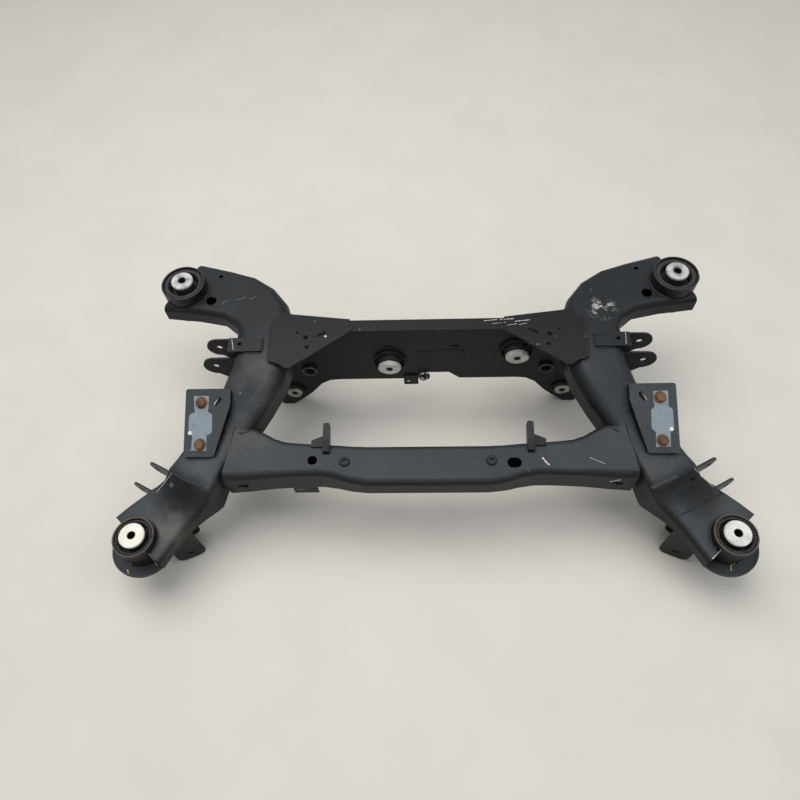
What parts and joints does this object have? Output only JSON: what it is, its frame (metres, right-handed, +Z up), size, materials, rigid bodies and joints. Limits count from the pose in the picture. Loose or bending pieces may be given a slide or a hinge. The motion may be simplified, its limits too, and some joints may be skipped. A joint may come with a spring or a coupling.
{
  "type": "axle subframe",
  "caption": "Welded sheet-steel axle subframe: curved side members, front and rear crossmembers, rubber body mounts and link brackets.",
  "frame": {"origin": "on the floor below the middle of the bounding box", "axes": "+X to the right and +Y to the rear as installed, with the front mounts at -Y; +Z up"},
  "size_m": [1.242, 0.6414, 0.317],
  "materials": {
    "coat": "satin black dip coat with dust and some rust",
    "sleeve": "black coat, rusty at the rim",
    "rubber": "matt black",
    "alloy": "dull cast aluminium, stained",
    "washer": "dull zinc plated steel",
    "rusty_bolt": "rusty"
  },
  "bodies": {
    "root": {"side_upper_left": "coat", "side_upper_right": "coat", "side_lower_left": "coat", "side_lower_right": "coat", "front_crossmember_upper": "coat", "front_crossmember_lower": "coat", "rear_crossmember_front": "coat", "rear_crossmember_back": "coat", "gusset_left": "coat", "gusset_right": "coat", "front_mount_sleeve_left": "sleeve", "front_mount_rubber_left": "rubber", "front_mount_core_left": "alloy", "front_mount_sleeve_right": "sleeve", "front_mount_rubber_right": "rubber", "front_mount_core_right": "alloy", "rear_mount_sleeve_left": "sleeve", "rear_mount_rubber_left": "rubber", "rear_mount_core_left": "alloy", "rear_mount_sleeve_right": "sleeve", "rear_mount_rubber_right": "rubber", "rear_mount_core_right": "alloy", "gear_mount_sleeve_left": "sleeve", "gear_mount_rubber_left": "rubber", "gear_mount_core_left": "alloy", "gear_mount_sleeve_right": "sleeve", "gear_mount_rubber_right": "rubber", "gear_mount_core_right": "alloy", "lower_link_sleeve_left": "sleeve", "lower_link_rubber_left": "rubber", "lower_link_core_left": "washer", "lower_link_sleeve_right": "sleeve", "lower_link_rubber_right": "rubber", "lower_link_core_right": "washer", "ring_sleeve_left": "sleeve", "ring_sleeve_right": "sleeve", "upper_arm_bracket_left": "coat", "upper_arm_bracket_right": "coat", "bar_seat_left": "coat", "bar_seat_right": "coat", "seat_bolts": "rusty_bolt", "front_link_bracket_left": "coat", "front_link_bracket_right": "coat", "lower_bracket_left": "coat", "lower_bracket_right": "coat", "hook_left": "coat", "hook_right": "coat", "deck_nuts": "coat", "line_clip": "coat", "front_tab": "coat"}
  },
  "joints": []
}
